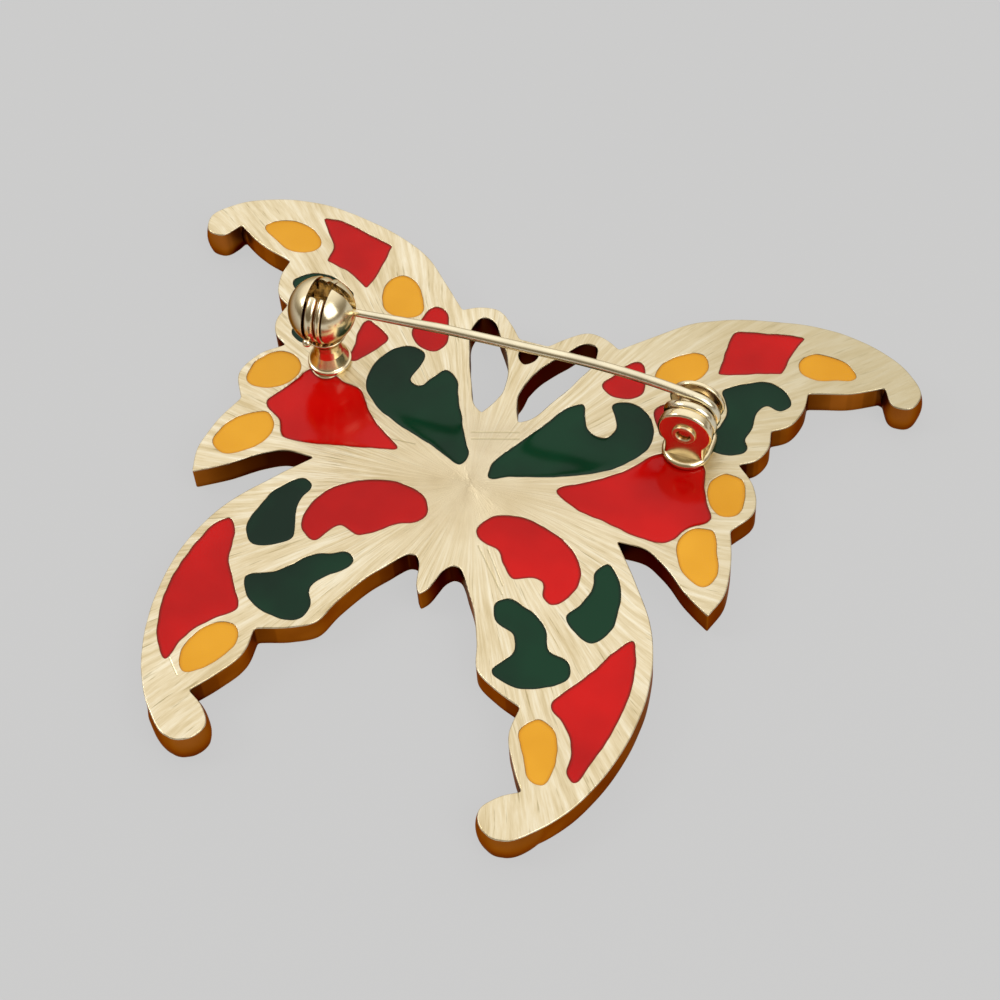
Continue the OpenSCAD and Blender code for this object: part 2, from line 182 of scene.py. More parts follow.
def inside(points, loops, band=0.25):
    """Which points the loops enclose, counted by the sides that a line to the right of each crosses."""
    start = np.concatenate(loops)
    end = np.concatenate([np.roll(p, -1, 0) for p in loops])
    low, high = np.minimum(start[:, 1], end[:, 1]), np.maximum(start[:, 1], end[:, 1])
    result = np.zeros(len(points), bool)
    for level in np.arange(low.min(), high.max(), band):
        here = np.nonzero((points[:, 1] >= level) & (points[:, 1] < level + band))[0]
        near = (low < level + band) & (high >= level)
        (x, y), (ax, ay), (bx, by) = points[here].T, start[near].T, end[near].T
        x, y = x[:, None], y[:, None]
        spans = (ay > y) != (by > y)
        across = ax + (bx - ax) * (y - ay) / np.where(by == ay, 1, by - ay)
        result[here] = np.sum(spans & (across > x), 1) % 2 == 1
    return result


def fill(loops, edges, rows, inner):
    """Points and triangles over the region on the left of the loops. The loops' points come first,
    unmoved, and the inner points are thinned out where the rows run."""
    border = np.concatenate(loops)
    near_edge = []
    for d in rows:
        row = np.concatenate([loop + left_normals(loop) * d for loop in loops])
        near_edge.append(row[edges.distance(row) > 0.9 * d])
    inner = inner[edges.distance(inner) > rows[-1] + 0.4 * (rows[-1] - rows[-2])]
    points = np.concatenate([border, *near_edge, inner])
    sides, first = [], 0
    for loop in loops:
        sides += [(first + i, first + (i + 1) % len(loop)) for i in range(len(loop))]
        first += len(loop)
    found = delaunay_2d_cdt([Vector(p) for p in points], sides, [], 0, 1e-7, True)
    at = np.array([tuple(v) for v in found[0]])
    tris = np.array([tuple(t) for t in found[2]])
    tris = tris[inside(at[tris].mean(1), loops)]
    where = {source: i for i, sources in enumerate(found[3]) for source in sources}
    border_at = [where[i] for i in range(len(border))]
    order = border_at + sorted(set(tris.ravel().tolist()) - set(border_at))
    rank = np.zeros(len(at), int)
    rank[order] = np.arange(len(order))
    return at[order], rank[tris]


def rounding(distance, radius):
    """How far a quarter-round edge falls away at this distance in from it."""
    left = np.clip(radius - distance, 0, radius)
    return radius - np.sqrt(radius ** 2 - left ** 2)


def closed_solid(loops, top, top_z, bottom, bottom_z, mids, bulge=None):
    """Vertices, faces and which faces are walls, for a solid between two filled faces that share
    their loops. mids are the shares of the way down at which the walls have a row of points, and
    bulge is how far each loop point's wall stands out half-way down."""
    top_at, top_tris = top
    low_at, low_tris = bottom
    vertices = [np.column_stack([top_at, top_z]), np.column_stack([low_at, bottom_z])]
    offset = len(top_at)
    faces = [tuple(t) for t in top_tris] + [tuple(offset + i for i in reversed(t)) for t in low_tris]
    walls = [0] * len(faces)
    total, first = offset + len(low_at), 0
    for loop in loops:
        n = len(loop)
        here = np.arange(first, first + n)
        rings = [here]
        out = -left_normals(loop) * (np.zeros(n) if bulge is None else bulge[here])[:, None]
        for share in mids:
            row = loop + out * math.sin(math.pi * share)
            vertices.append(np.column_stack([row, top_z[here] * (1 - share) + bottom_z[here] * share]))
            rings.append(total + np.arange(n))
            total += n
        rings.append(offset + here)
        for a, b in zip(rings, rings[1:]):
            for i in range(n):
                j = (i + 1) % n
                faces.append((a[j], a[i], b[i], b[j]))
                walls.append(1)
        first += n
    return np.concatenate(vertices), faces, walls


def make_mesh(name, vertices, faces, materials, which=None, values=None):
    """A smooth-shaded object from millimetre vertices, with each face's material and point values."""
    mesh = bpy.data.meshes.new(name)
    mesh.from_pydata([tuple(v * MM) for v in vertices], [], [tuple(int(i) for i in f) for f in faces])
    for material in materials:
        mesh.materials.append(material)
    if which is not None:
        mesh.polygons.foreach_set("material_index", np.array(which, np.int32))
    for key, data in (values or {}).items():
        mesh.attributes.new(key, "FLOAT", "POINT").data.foreach_set("value", np.array(data, np.float32))
    mesh.polygons.foreach_set("use_smooth", [True] * len(mesh.polygons))
    mesh.validate()
    mesh.update()
    piece = bpy.data.objects.new(name, mesh)
    bpy.context.scene.collection.objects.link(piece)
    return piece


# ---------------------------------------------------------------- materials


def srgb(r, g, b):
    """A colour given as 0-255 screen values, in linear light."""
    return tuple(((c / 255 + 0.055) / 1.055) ** 2.4 if c > 10 else c / 255 / 12.92 for c in (r, g, b)) + (1,)


class Shader:
    """Builds one material's node tree."""

    def __init__(self, name):
        self.material = bpy.data.materials.new(name)
        self.material.use_nodes = True
        self.tree = self.material.node_tree
        self.tree.nodes.clear()
        self.output = self.tree.nodes.new("ShaderNodeOutputMaterial")

    def add(self, kind, inputs=None, **settings):
        """A node with its settings, and its inputs set to values or linked to other nodes' outputs."""
        node = self.tree.nodes.new("ShaderNode" + kind)
        for key, value in settings.items():
            setattr(node, key, value)
        for key, value in (inputs or {}).items():
            if isinstance(value, bpy.types.NodeSocket):
                self.tree.links.new(value, node.inputs[key])
            else:
                node.inputs[key].default_value = value
        return node

    def maths(self, operation, a, b=0.0, clamp=False):
        """A sum, product or other working on two numbers or sockets."""
        return self.add("Math", {0: a, 1: b}, operation=operation, use_clamp=clamp).outputs[0]

    def ramp(self, value, stops):
        """A colour ramp with (position, colour) stops."""
        node = self.add("ValToRGB", {0: value})
        while len(node.color_ramp.elements) < len(stops):
            node.color_ramp.elements.new(0.5)
        for element, (position, colour) in zip(node.color_ramp.elements, stops):
            element.position, element.color = position, colour
        return node.outputs[0]

    def mix(self, share, a, b):
        """Colour a, with this share of colour b."""
        node = self.add("Mix", data_type="RGBA")
        for socket, value in ((node.inputs[0], share), (node.inputs[6], a), (node.inputs[7], b)):
            if isinstance(value, bpy.types.NodeSocket):
                self.tree.links.new(value, socket)
            else:
                socket.default_value = value
        return node.outputs[2]

    def mark(self, place, start, end, width):
        """1 along a line between two points given in mm, falling to 0 at its width."""
        run = Vector(end) - Vector(start)
        off = self.add("VectorMath", {0: place, 1: Vector(start) * MM}, operation="SUBTRACT").outputs[0]
        unit = run / run.length_squared / MM
        share = self.add("VectorMath", {0: off, 1: unit}, operation="DOT_PRODUCT").outputs["Value"]
        share = self.maths("ADD", share, 0.0, clamp=True)
        foot = self.add("VectorMath", {0: run * MM, "Scale": share}, operation="SCALE").outputs[0]
        gap = self.add("VectorMath", {0: off, 1: foot}, operation="DISTANCE").outputs["Value"]
        return self.maths("SUBTRACT", 1.0, self.maths("DIVIDE", gap, width * MM), clamp=True)

    def surface(self, **inputs):
        """Ends the tree in a Principled shader, whose sockets are named with underscores."""
        names = {key.replace("_", " "): value for key, value in inputs.items()}
        shader = self.add("BsdfPrincipled", names)
        self.tree.links.new(shader.outputs[0], self.output.inputs[0])
        return self.material


# Marks in the polished back, as X and Y of both ends and a width: scratches beside the body, the seam
# across the neck, and a scratch each in the left forewing and the left tail
MARKS = [((x, y + ROOT[1], BACK_Z), (u, v + ROOT[1], BACK_Z), width) for x, y, u, v, width in (
    (2.6, -10.1, 5.7, -13.5, 0.1), (3.4, -10.2, 5.5, -12.8, 0.08), (-1.5, -0.5, 1.9, 0.6, 0.12),
    (-1.3, -1.1, 2.1, 0.0, 0.12), (-9.8, -3.2, -5.2, -2.9, 0.07), (-16.2, -24.9, -13.8, -27.3, 0.08))]


def brushed_gold():
    """The back and the front of the plate: pale satin gold, polished outwards from mid-body, with painted
    shade over the right forewing.
    """
    s = Shader("brushed_gold")
    place = s.add("TexCoord").outputs["Object"]
    # Where a point is, as an angle and a distance from the middle of the strokes
    middle = (0, (ROOT[1] - 5) * MM, 0)
    centred = s.add("VectorMath", {0: place, 1: middle}, operation="SUBTRACT").outputs[0]
    split = s.add("SeparateXYZ", {0: centred})
    angle = s.maths("ARCTAN2", split.outputs[1], split.outputs[0])
    radius = s.add("VectorMath", {0: centred}, operation="LENGTH").outputs["Value"]
    bend = s.add("TexNoise", {"Vector": place, "Scale": 90.0, "Detail": 1.0})
    angle = s.maths("ADD", angle, s.maths("MULTIPLY", bend.outputs[0], 0.12))
    # Broad strokes and fine scratches
    broad = s.add("CombineXYZ", {0: s.maths("MULTIPLY", angle, 34), 1: s.maths("MULTIPLY", radius, 110)})
    coarse = s.add("TexNoise", {"Vector": broad.outputs[0], "Scale": 1.0, "Detail": 4.0, "Roughness": 0.75})
    fine_at = s.add("CombineXYZ", {0: s.maths("MULTIPLY", angle, 90), 1: s.maths("MULTIPLY", radius, 240)})
    fine = s.add("TexNoise", {"Vector": fine_at.outputs[0], "Scale": 1.0, "Detail": 3.0, "Roughness": 0.6})
    # Cloudy gold, streaked from 3 mm out
    clouds = s.add("TexNoise", {"Vector": place, "Scale": 170.0, "Detail": 3.0, "Roughness": 0.55})
    tone = s.ramp(clouds.outputs[0], [(0.3, srgb(216, 198, 160)), (0.7, srgb(238, 225, 194))])
    streaks = s.ramp(coarse.outputs[0], [(0.36, srgb(192, 170, 120)), (0.5, srgb(228, 213, 178)),
                                         (0.64, srgb(252, 247, 228))])
    away = s.maths("MULTIPLY", s.maths("SUBTRACT", radius, 0.003), 160.0, clamp=True)
    streaked = s.mix(s.maths("MULTIPLY", away, 0.5), tone, streaks)
    scratch = s.ramp(fine.outputs[0], [(0.3, srgb(160, 152, 108)), (0.4, srgb(255, 255, 255))])
    scratched = s.add("Mix", {0: s.maths("MULTIPLY", away, 0.6)}, data_type="RGBA", blend_type="MULTIPLY")
    s.tree.links.new(streaked, scratched.inputs[6])
    s.tree.links.new(scratch, scratched.inputs[7])
    marks = 0.0
    for start, end, width in MARKS:
        marks = s.maths("MAXIMUM", marks, s.mark(place, start, end, width))
    marked = s.mix(s.maths("MULTIPLY", marks, 0.6), scratched.outputs[2], srgb(176, 164, 118))
    # Painted shade: the right forewing is made darker and greyer, in place of the dimmer reflection that it
    # shows
    across = s.maths("ADD", split.outputs[0], split.outputs[1])
    side = s.maths("MULTIPLY", s.maths("SUBTRACT", across, 0.010), 30.0, clamp=True)
    with_painted_shade = s.mix(s.maths("MULTIPLY", side, 0.66), marked, srgb(188, 176, 142))
    height = s.maths("ADD", coarse.outputs[0], s.maths("MULTIPLY", fine.outputs[0], 0.5))
    height = s.maths("SUBTRACT", height, s.maths("MULTIPLY", marks, 0.8))
    bump = s.add("Bump", {"Strength": 0.5, "Distance": 0.0001, "Height": height})
    rough = s.maths("ADD", s.maths("MULTIPLY", fine.outputs[0], 0.16), 0.26)
    return s.surface(Base_Color=with_painted_shade, Metallic=1.0, Roughness=rough, Normal=bump.outputs[0])


def amber_wall():
    """The plate's walls: unpolished casting, darker and warmer, partly by painted reflection, and with
    painted shade where they face other walls and towards the front.
    """
    s = Shader("amber_wall")
    place = s.add("TexCoord").outputs["Object"]
    # Painted shade where the walls face other walls, read from the attribute hollow
    hollow = s.add("Attribute", attribute_name="hollow").outputs["Fac"]
    grain = s.add("TexNoise", {"Vector": place, "Scale": 900.0, "Detail": 5.0, "Roughness": 0.65})
    clouds = s.add("TexNoise", {"Vector": place, "Scale": 240.0, "Detail": 2.0})
    # Warm gold, partly the walls' own colour and partly a painted reflection of warm surroundings
    tone = s.ramp(clouds.outputs[0], [(0.3, srgb(148, 80, 24)), (0.7, srgb(182, 106, 38))])
    height = s.add("SeparateXYZ", {0: place}).outputs[2]
    # Painted shade towards the front, within about 1.1 mm of the floor, added to the shade where walls face
    # walls
    low = s.maths("SUBTRACT", 1.0, s.maths("MULTIPLY", height, 900.0), clamp=True)
    painted_shade = s.maths("ADD", hollow, s.maths("MULTIPLY", low, 0.5), clamp=True)
    tone = s.mix(painted_shade, tone, srgb(62, 26, 6))
    bump = s.add("Bump", {"Strength": 0.3, "Distance": 0.00005, "Height": grain.outputs[0]})
    rough = s.maths("ADD", s.maths("MULTIPLY", grain.outputs[0], 0.25), 0.25)
    return s.surface(Base_Color=tone, Metallic=1.0, Roughness=rough, Normal=bump.outputs[0],
                     Specular_Tint=(0.5, 0.32, 0.16, 1))


def polished_gold(name="polished_gold", tone=(255, 240, 202), rough=0.21):
    """The fittings: bright gold with fine handling marks, and warm brown painted shade and reflection where
    its attribute says.
    """
    s = Shader(name)
    place = s.add("TexCoord").outputs["Object"]
    grain = s.add("TexNoise", {"Vector": place, "Scale": 1500.0, "Detail": 4.0, "Roughness": 0.7})
    clouds = s.add("TexNoise", {"Vector": place, "Scale": 500.0, "Detail": 2.0})
    low = tuple(c * 0.93 for c in tone)
    colour = s.ramp(clouds.outputs[0], [(0.3, srgb(*low)), (0.7, srgb(*tone))])
    # Painted shade and reflection: warm brown on sides turned from the light, and inside bores
    colour = s.mix(s.add("Attribute", attribute_name="painted_side_shade").outputs["Fac"], colour, srgb(148, 92, 38))
    bump = s.add("Bump", {"Strength": 0.12, "Distance": 0.00003, "Height": grain.outputs[0]})
    roughness = s.maths("ADD", s.maths("MULTIPLY", grain.outputs[0], 0.1), rough - 0.05)
    return s.surface(Base_Color=colour, Metallic=1.0, Roughness=roughness, Normal=bump.outputs[0],
                     Specular_Tint=(0.55, 0.42, 0.26, 1))


def enamel(name, middle, edge, deep):
    """Glossy enamel: an even colour, made darker at its edge with painted shade from the cell's wall."""
    s = Shader(name)
    place = s.add("TexCoord").outputs["Object"]
    rim = s.add("Attribute", attribute_name="edge_distance").outputs["Fac"]
    clouds = s.add("TexNoise", {"Vector": place, "Scale": 110.0, "Detail": 3.0, "Roughness": 0.5})
    body = s.ramp(clouds.outputs[0], [(0.36, srgb(*deep)), (0.64, srgb(*middle))])
    # Painted shade along the edge, where the cell's wall shades the enamel
    share = s.maths("MULTIPLY", rim, 4.5, clamp=True)
    colour = s.mix(share, srgb(*edge), body)
    ripples = s.add("TexNoise", {"Vector": place, "Scale": 420.0, "Detail": 2.0})
    bump = s.add("Bump", {"Strength": 0.12, "Distance": 0.0001, "Height": ripples.outputs[0]})
    return s.surface(Base_Color=colour, Roughness=0.12, Normal=bump.outputs[0], Specular_IOR_Level=0.2)


# Each enamel's middle colour, its edge colour of painted shade, and the colour of its darker clouds
ENAMELS = {
    "red": enamel("red_enamel", (206, 8, 5), (126, 20, 8), (176, 2, 1)),
    "green": enamel("green_enamel", (2, 54, 31), (3, 30, 16), (1, 33, 18)),
    "yellow": enamel("yellow_enamel", (234, 170, 44), (208, 142, 34), (220, 154, 30)),
}
FACE_GOLD = brushed_gold()
WALL_GOLD = amber_wall()
FITTING_GOLD = polished_gold()
RIVET_GOLD = polished_gold("rivet_gold", (250, 232, 190), 0.3)
PIN_GOLD = polished_gold("pin_gold", (252, 242, 212), 0.24)


# ---------------------------------------------------------------- camera, stage and light


def add_camera():
    """The photograph's view: how far round, how high, how tilted, and from where in mm."""
    azimuth, elevation, roll = 23.9, 54.6, -4.43
    place = Vector((42.75, -88.85, 141.81))
    data = bpy.data.cameras.new("camera")
    data.lens, data.sensor_width = 82.8, 36
    data.clip_start, data.clip_end = 0.01, 10
    camera = bpy.data.objects.new("camera", data)
    bpy.context.scene.collection.objects.link(camera)
    turn = (Matrix.Rotation(math.radians(azimuth), 4, "Z")
            @ Matrix.Rotation(math.radians(90 - elevation), 4, "X")
            @ Matrix.Rotation(math.radians(roll), 4, "Z"))
    camera.matrix_world = Matrix.Translation(place * MM) @ turn
    bpy.context.scene.camera = camera


def add_softbox(name, direction, distance, size, power):
    """A square area light that looks at the brooch from a direction."""
    data = bpy.data.lights.new(name, "AREA")
    data.shape, data.size, data.energy = "SQUARE", size, power
    light = bpy.data.objects.new(name, data)
    bpy.context.scene.collection.objects.link(light)
    towards = Vector(direction).normalized()
    light.location = towards * distance
    light.rotation_euler = towards.to_track_quat("Z", "Y").to_euler()


def add_world():
    """Soft studio surroundings: dim at the horizon and in front, bright above and behind."""
    world = bpy.data.worlds.new("studio")
    bpy.context.scene.world = world
    world.use_nodes = True
    tree = world.node_tree
    tree.nodes.clear()
    out = tree.nodes.new("ShaderNodeOutputWorld")
    back = tree.nodes.new("ShaderNodeBackground")
    where = tree.nodes.new("ShaderNodeTexCoord")
    dot = tree.nodes.new("ShaderNodeVectorMath")
    dot.operation = "DOT_PRODUCT"
    dot.inputs[1].default_value = Vector((-0.2, 0.5, 0.84)).normalized()
    ramp = tree.nodes.new("ShaderNodeValToRGB")
    stops = ((0.0, (0.15, 0.12, 0.08)), (0.3, (0.26, 0.23, 0.18)),
             (0.62, (0.80, 0.76, 0.70)), (1.0, (1.0, 0.98, 0.94)))
    while len(ramp.color_ramp.elements) < len(stops):
        ramp.color_ramp.elements.new(0.5)
    for element, (position, colour) in zip(ramp.color_ramp.elements, stops):
        element.position, element.color = position, (*colour, 1)
    tree.links.new(where.outputs["Generated"], dot.inputs[0])
    tree.links.new(dot.outputs["Value"], ramp.inputs[0])
    tree.links.new(ramp.outputs[0], back.inputs[0])
    back.inputs[1].default_value = 1.1
    tree.links.new(back.outputs[0], out.inputs[0])


def add_floor():
    """A plain pale floor, just under the brooch. Most of its grey is its own glow, so that shadows
    on it stay faint."""
    bpy.ops.mesh.primitive_plane_add(size=6, location=(0, 0, -0.00002))
    floor = bpy.context.object
    floor.name = "floor"
    s = Shader("floor_grey")
    diffuse = s.add("BsdfDiffuse", {"Color": (0.06, 0.06, 0.06, 1)})
    glow = s.add("Emission", {"Color": srgb(204, 204, 204), "Strength": 0.90})
    both = s.add("AddShader", {0: diffuse.outputs[0], 1: glow.outputs[0]})
    s.tree.links.new(both.outputs[0], s.output.inputs[0])
    floor.data.materials.append(s.material)


add_camera()
add_world()
add_floor()
add_softbox("left_lamp", (-0.75, -0.2, 0.63), 0.45, 0.14, 0.36)
add_softbox("right_lamp", (0.7, -0.35, 0.62), 0.45, 0.32, 0.85)
bpy.context.scene.view_settings.view_transform = "Standard"


# ---------------------------------------------------------------- the plate and its enamel


def plate_outlines():
    """The plate's edge, its openings, and the outline of each enamel cell by the pane's node name."""
    loops = face_outlines("wing_plate", BACK_Z)
    outer = max(loops, key=area)
    panes = {n: (sum(node_box(n)) / 2)[:2] for n in frame["nodes"] if n.startswith("enamel_")}
    cells, openings = {}, []
    for loop in (p for p in loops if p is not outer):
        middle = (loop.min(0) + loop.max(0)) / 2
        name = min(panes, key=lambda n: np.linalg.norm(panes[n] - middle))
        if np.linalg.norm(panes[name] - middle) < 0.05:
            cells[name] = loop
        else:
            openings.append(loop)
    return outer, openings, cells


# The ten round segments of the body down the middle of the front: Y from the wing root, and radius
BODY = ((4.6, 1.5), (2.4, 1.75), (-0.2, 1.95), (-2.9, 1.9), (-5.3, 1.7), (-7.4, 1.5), (-9.3, 1.3), (-11, 1.1),
        (-12.4, 0.9), (-13.6, 0.75))
SEGMENTS = [(0, y + ROOT[1], r) for y, r in BODY]
# The knobs at the ends of the forewings and of the tails, mirrored: X, Y and radius
KNOBS = [(side * x, y + ROOT[1], r) for side in (1, -1) for x, y, r in ((28.4, 13, 1.45), (12, -30.6, 2.0))]
# How far the walls round the knobs stand out half-way down
KNOB_BULGE = 0.2


def relief(points):
    """How far the body's segments and the knobs stand proud of the front face at these points."""
    height = np.zeros(len(points))
    for x, y, r in SEGMENTS:
        flat = np.sum((points - (x, y)) ** 2, 1)
        rise = np.sqrt(np.maximum(r * r - flat, 0)) - (r - FRONT_Z)
        height = np.maximum(height, np.clip(rise, 0, FRONT_Z))
    for x, y, r in KNOBS:
        out = np.linalg.norm(points - (x, y), axis=1)
        height = np.maximum(height, FRONT_Z * np.clip(1.25 - 0.5 * (out / r) ** 4, 0, 1))
    return height


def knob_bulge(points):
    """How far the walls stand out half-way down at these points: round the knobs, and nowhere else."""
    share = np.zeros(len(points))
    for x, y, r in KNOBS:
        out = np.linalg.norm(points - (x, y), axis=1)
        share = np.maximum(share, np.clip((1.55 - out / r) / 0.35, 0, 1))
    return KNOB_BULGE * share * share * (3 - 2 * share)


def wall_shade_share(loop, reach=7.0):
    """How much of what each point of an outline looks out at is the outline itself, from 0 to 1,
    found along seven rays that are as long as reach. The share is stretched for contrast, and
    gives the walls their painted shade."""
    out = -left_normals(loop)
    start, run = loop, np.roll(loop, -1, 0) - loop
    shade = np.zeros(len(loop))
    angles = np.radians((-66, -44, -22, 0, 22, 44, 66))
    for turn in angles:
        way = np.column_stack([out[:, 0] * math.cos(turn) - out[:, 1] * math.sin(turn),
                               out[:, 0] * math.sin(turn) + out[:, 1] * math.cos(turn)])
        cross = way[:, None, 0] * run[None, :, 1] - way[:, None, 1] * run[None, :, 0]
        cross = np.where(np.abs(cross) < 1e-9, 1e-9, cross)
        to = start[None] - loop[:, None]
        far = (to[..., 0] * run[None, :, 1] - to[..., 1] * run[None, :, 0]) / cross
        at = (to[..., 0] * way[:, None, 1] - to[..., 1] * way[:, None, 0]) / cross
        far = np.where((far > 0.05) & (at >= 0) & (at <= 1), far, reach)
        shade += np.clip(1 - far.min(1) / reach, 0, 1)
    return np.clip(shade / len(angles) * 2.6 - 0.2, 0, 1)


def build_plate(outer, openings, cells):
    """The cast plate: its back nearly flat, its front with the body's relief and the knobs."""
    rims = [outer] + openings
    loops = rims + list(cells.values())
    edges, rim_edges, cell_edges = Edges(loops), Edges(rims), Edges(list(cells.values()))
    low, high = outer.min(0), outer.max(0)
    grid = hex_grid(low, high, GRID)
    body_half = 2.2
    on_body = hex_grid((-body_half, low[1]), (body_half, high[1]), FINE_GRID)
    on_knobs = [hex_grid((x - r, y - r), (x + r, y + r), FINE_GRID) for x, y, r in KNOBS]
    beside_body = grid[np.abs(grid[:, 0]) > body_half + 0.1]
    back = fill(loops, edges, ROWS, grid)
    front = fill(loops, edges, ROWS, np.concatenate([on_body, *on_knobs, beside_body]))

    def falling(points):
        """How far the faces fall away at their rounded edges."""
        return rounding(rim_edges.distance(points), RIM_R) + rounding(cell_edges.distance(points), CELL_R)

    swell = np.array([noise.noise(Vector((p[0] / 3.1, p[1] / 3.1, 4.2))) for p in back[0]])
    back_z = BACK_Z - 0.012 + 0.012 * swell - falling(back[0])
    front_z = FRONT_Z + falling(front[0]) - relief(front[0])
    border = np.concatenate(loops)
    # Only the outer edge bulges
    bulge = knob_bulge(border)
    bulge[len(outer):] = 0
    mids = (0.12, 0.25, 0.4, 0.5, 0.6, 0.75, 0.88)
    vertices, faces, walls = closed_solid(loops, back, back_z, front, front_z, mids, bulge)
    tree = kdtree.KDTree(len(border))
    for i, p in enumerate(border):
        tree.insert((p[0], p[1], 0), i)
    tree.balance()
    # Painted shade for the walls, kept in the attribute hollow
    painted_wall_shade = np.concatenate([wall_shade_share(loop) for loop in loops])
    hollow = np.zeros(len(vertices))
    for i in {i for face, wall in zip(faces, walls) if wall for i in face}:
        hollow[i] = painted_wall_shade[tree.find((vertices[i][0], vertices[i][1], 0))[1]]
    plate = make_mesh("gold_plate", vertices, faces, [FACE_GOLD, WALL_GOLD], walls, {"hollow": hollow})
    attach(plate, "brooch")
    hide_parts("wing_plate")


def pad_distance(points, pad):
    """How far points are from the middle line of a fitting's pad."""
    x, low, high, _ = pad
    return np.hypot(points[:, 0] - x, points[:, 1] - np.clip(points[:, 1], low, high))


# The pads of the fittings: X, the ends of the middle line in Y, and the radius of the bare land
HINGE_PAD = (HINGE[0], 3.1 + ROOT[1], 4.1 + ROOT[1], 2.1)
CATCH_PAD = (CATCH[0], 2.05 + ROOT[1], 3.15 + ROOT[1], 1.7)
PADS = (HINGE_PAD, CATCH_PAD)
# How far the enamel runs in under a pad
UNDER = 0.42


def round_pads(cell):
    """Draws a cell's outline in under the pads that it meets."""
    for pad in PADS:
        out = pad_distance(cell, pad)
        middle = np.column_stack([np.full(len(cell), pad[0]), np.clip(cell[:, 1], pad[1], pad[2])])
        share = np.clip((pad[3] + 0.3 - out) / 0.3, 0, 1)
        cell = cell - (cell - middle) / out[:, None] * (UNDER * share)[:, None]
    return cell


def build_pane(node, cell):
    """One pane of enamel: it clings to its cell's walls and sinks a little towards its middle."""
    gap = 0.004
    cell = cell[::-1] + left_normals(cell[::-1]) * gap
    edges = Edges([cell])
    low, high = cell.min(0), cell.max(0)
    filled = fill([cell], edges, (0.05, 0.12, 0.22), hex_grid(low, high, 0.3))
    distance = edges.distance(filled[0])
    distance[:len(cell)] = 0
    sag = (RECESS - 0.02 - CELL_R) * (1 - np.exp(-distance / 0.22))
    ripple = np.array([noise.noise(Vector((p[0] / 2.2, p[1] / 2.2, 9.1))) for p in filled[0]])
    depth = CELL_R + gap + sag + 0.01 * ripple * np.clip(distance / 0.5, 0, 1)
    # A raised line of enamel round each pad
    for pad in PADS:
        out = pad_distance(filled[0], pad) - pad[3]
        depth -= 0.05 * np.exp(-((out - 0.12) / 0.08) ** 2) * np.clip(distance / 0.1, 0, 1)
    vertices, faces, _ = closed_solid([cell], filled, BACK_Z - depth, filled, FRONT_Z + depth, ())
    colour = node.split("_")[1]
    pane = make_mesh("pane" + node[len("enamel"):], vertices, faces, [ENAMELS[colour]], None,
                     {"edge_distance": np.concatenate([distance, distance])})
    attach(pane, "brooch")
    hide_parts(node)


# Every outline wavers a little, as hand-finished castings and hand-laid enamel do
outer, openings, cells = plate_outlines()
outer = wobble(smooth_outline(outer), 0.04, 1.9, 0.5)
openings = [wobble(smooth_outline(o), 0.04, 1.5, 2.5) for o in openings]
cells = {n: wobble(smooth_outline(c), 0.06, 0.8, 7.5 + i) for i, (n, c) in enumerate(sorted(cells.items()))}
cells = {n: round_pads(c) for n, c in cells.items()}
build_plate(outer, openings, cells)
for node, cell in cells.items():
    build_pane(node, cell)


# ---------------------------------------------------------------- the fittings


def soften(points, radius, closed=False, steps=5):
    """A line through points with each corner rounded. A radius may be given for every point."""
    points = np.array(points, float)
    radii = np.broadcast_to(radius, len(points))
    out = []
    for i, p in enumerate(points):
        if not closed and i in (0, len(points) - 1):
            out.append(p)
            continue
        last, following = points[i - 1] - p, points[(i + 1) % len(points)] - p
        last_run, next_run = np.linalg.norm(last), np.linalg.norm(following)
        last, following = last / last_run, following / next_run
        half = math.acos(float(np.clip(last @ following, -1, 1))) / 2
        reach = min(radii[i] / max(math.tan(half), 1e-6), 0.49 * last_run, 0.49 * next_run)
        if reach < 1e-4 or half > 1.55:
            out.append(p)
            continue
        start, end = p + last * reach, p + following * reach
        for k in range(steps + 1):
            s = k / steps
            out.append(start * (1 - s) ** 2 + 2 * p * s * (1 - s) + end * s * s)
    return np.array(out)


def revolve(section, closed=False, steps=112):
    """A solid turned about Z from (radius, height) points, which run upwards on the outside."""
    vertices, rows = [], []
    for radius, height in section:
        if radius < 1e-6:
            rows.append([len(vertices)] * steps)
            vertices.append((0, 0, height))
        else:
            rows.append(list(range(len(vertices), len(vertices) + steps)))
            turns = np.arange(steps) * 2 * math.pi / steps
            vertices += [(radius * math.cos(t), radius * math.sin(t), height) for t in turns]
    faces = []
    for a, b in zip(rows, rows[1:] + (rows[:1] if closed else [])):
        for i in range(steps):
            j = (i + 1) % steps
            quad = list(dict.fromkeys([a[i], a[j], b[j], b[i]]))
            if len(quad) > 2:
                faces.append(quad)
    return np.array(vertices), faces


def along(axis, solid):
    """Lays a solid that was made about Z along X or Y."""
    vertices, faces = solid
    return vertices[:, [2, 0, 1] if axis == "x" else [1, 2, 0]], faces


def sweep(path, radii, sides=24):
    """A round wire along a path, closed at both ends."""
    path = np.array(path, float)
    ahead = np.gradient(path, axis=0)
    ahead /= np.linalg.norm(ahead, axis=1)[:, None]
    side = np.cross(ahead[0], (0, 0, 1.0))
    vertices = []
    for p, t, r in zip(path, ahead, radii):
        side = side - t * (side @ t)
        side /= np.linalg.norm(side)
        up = np.cross(t, side)
        for k in range(sides):
            turn = 2 * math.pi * k / sides
            vertices.append(p + r * (math.cos(turn) * side + math.sin(turn) * up))
    faces = [tuple(reversed(range(sides)))]
    for i in range(len(path) - 1):
        for k in range(sides):
            j = (k + 1) % sides
            a, b = i * sides, (i + 1) * sides
            faces.append((a + k, a + j, b + j, b + k))
    faces.append(tuple(range((len(path) - 1) * sides, len(path) * sides)))
    return np.array(vertices), faces


